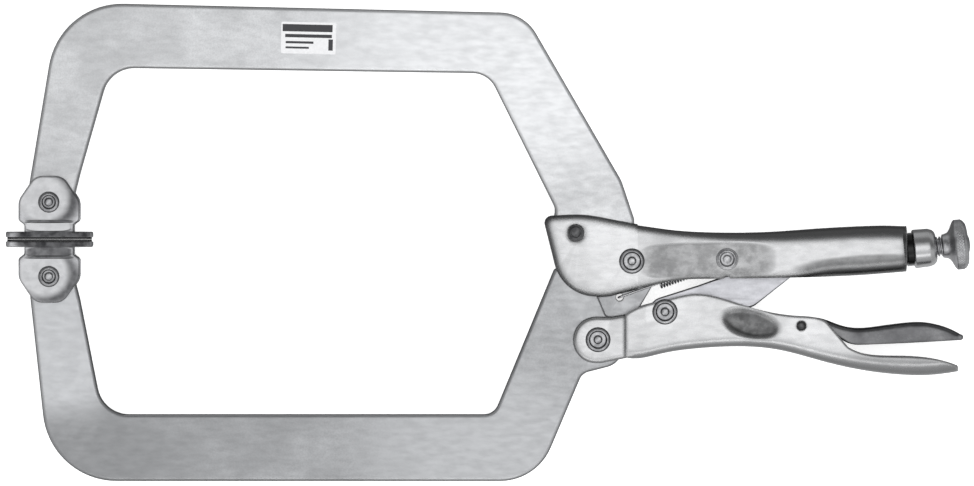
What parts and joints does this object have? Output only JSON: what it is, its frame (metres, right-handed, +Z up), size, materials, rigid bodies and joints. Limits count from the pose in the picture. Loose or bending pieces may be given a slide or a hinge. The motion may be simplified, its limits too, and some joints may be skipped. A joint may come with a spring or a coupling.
{
  "type": "locking C-clamp pliers",
  "caption": "Long-reach locking pliers with C-shaped jaws, swivel pads, toggle handle, adjusting screw and release lever.",
  "frame": {"origin": "under the centre of the tool's bounding box, on the surface it lies on", "axes": "+X along the handles towards the adjusting knob, +Y from the lower jaw towards the upper jaw, +Z up, square to the jaws' flat sides"},
  "size_m": [0.4572, 0.2261, 0.024],
  "materials": {
    "jaw_bar": "satin nickel plate",
    "plated_sheet": "bright nickel plate",
    "rivet_steel": "plated",
    "link_steel": "satin",
    "screw_steel": "turned and knurled",
    "pad_steel": "pressed and plated",
    "spring_wire": "drawn wire",
    "printed_patch": "printed"
  },
  "bodies": {
    "fixed_frame": {"fixed_handle": "plated_sheet", "screw_bush": "plated_sheet", "upper_jaw": "jaw_bar", "upper_jaw_rivet": "rivet_steel", "jaw_pivot_rivet": "rivet_steel", "spring_anchor_pin": "rivet_steel", "jaw_spring": "spring_wire", "marking_patch": "printed_patch"},
    "lower_jaw": {"lower_jaw": "jaw_bar"},
    "lower_handle": {"lower_handle": "plated_sheet", "handle_pivot_rivet": "rivet_steel", "link_rivet": "rivet_steel", "release_lever_pin": "rivet_steel"},
    "toggle_link": {"toggle_link": "link_steel"},
    "release_lever": {"release_lever": "plated_sheet"},
    "screw_tip": {"screw_tip": "screw_steel"},
    "adjusting_screw": {"adjusting_screw": "screw_steel"},
    "upper_pad": {"upper_pad": "pad_steel", "upper_pad_rivet": "rivet_steel"},
    "lower_pad": {"lower_pad": "pad_steel", "lower_pad_rivet": "rivet_steel"}
  },
  "joints": [
    {"name": "jaw_open", "type": "hinge", "parent": "fixed_frame", "child": "lower_jaw", "pos_m": [0.06771, -0.00885, 0.012], "axis": [0, 0, 1], "range_deg": [0, 20], "deforming": ["jaw_spring"]},
    {"name": "handle_open", "type": "hinge", "parent": "lower_jaw", "child": "lower_handle", "pos_m": [0.05171, -0.04605, 0.012], "axis": [0, 0, 1], "range_deg": [-55.7, 0]},
    {"name": "link_fold", "type": "hinge", "parent": "lower_handle", "child": "toggle_link", "pos_m": [0.08331, -0.03285, 0.012], "axis": [0, 0, 1], "range_deg": [0, 59.75]},
    {"name": "release_press", "type": "hinge", "parent": "lower_handle", "child": "release_lever", "pos_m": [0.14781, -0.03945, 0.012], "axis": [0, 0, -1], "range_deg": [0, 6]},
    {"name": "screw_travel", "type": "slide", "parent": "fixed_frame", "child": "screw_tip", "axis": [0.9949, 0.1011, 0], "range_m": [0, 0.022]},
    {"name": "screw_turn", "type": "hinge", "parent": "screw_tip", "child": "adjusting_screw", "pos_m": [0.14771, -0.00865, 0.012], "axis": [0.9949, 0.1011, 0], "range_deg": [0, 4989.08]},
    {"name": "upper_pad_swivel", "type": "hinge", "parent": "fixed_frame", "child": "upper_pad", "pos_m": [-0.20809, 0.01905, 0.012], "axis": [0, 0, 1], "range_deg": [0, 10]},
    {"name": "lower_pad_swivel", "type": "hinge", "parent": "lower_jaw", "child": "lower_pad", "pos_m": [-0.20809, -0.01615, 0.012], "axis": [0, 0, 1], "range_deg": [-10, 0]}
  ],
  "couplings": [
    {"joint": "handle_open", "follows": "jaw_open", "ratio": -2.7846},
    {"joint": "link_fold", "follows": "jaw_open", "ratio": 2.9872},
    {"joint": "upper_pad_swivel", "follows": "jaw_open", "ratio": 0.5},
    {"joint": "lower_pad_swivel", "follows": "jaw_open", "ratio": -0.5},
    {"joint": "screw_turn", "follows": "screw_travel", "rad_per_m": 3957.9}
  ]
}
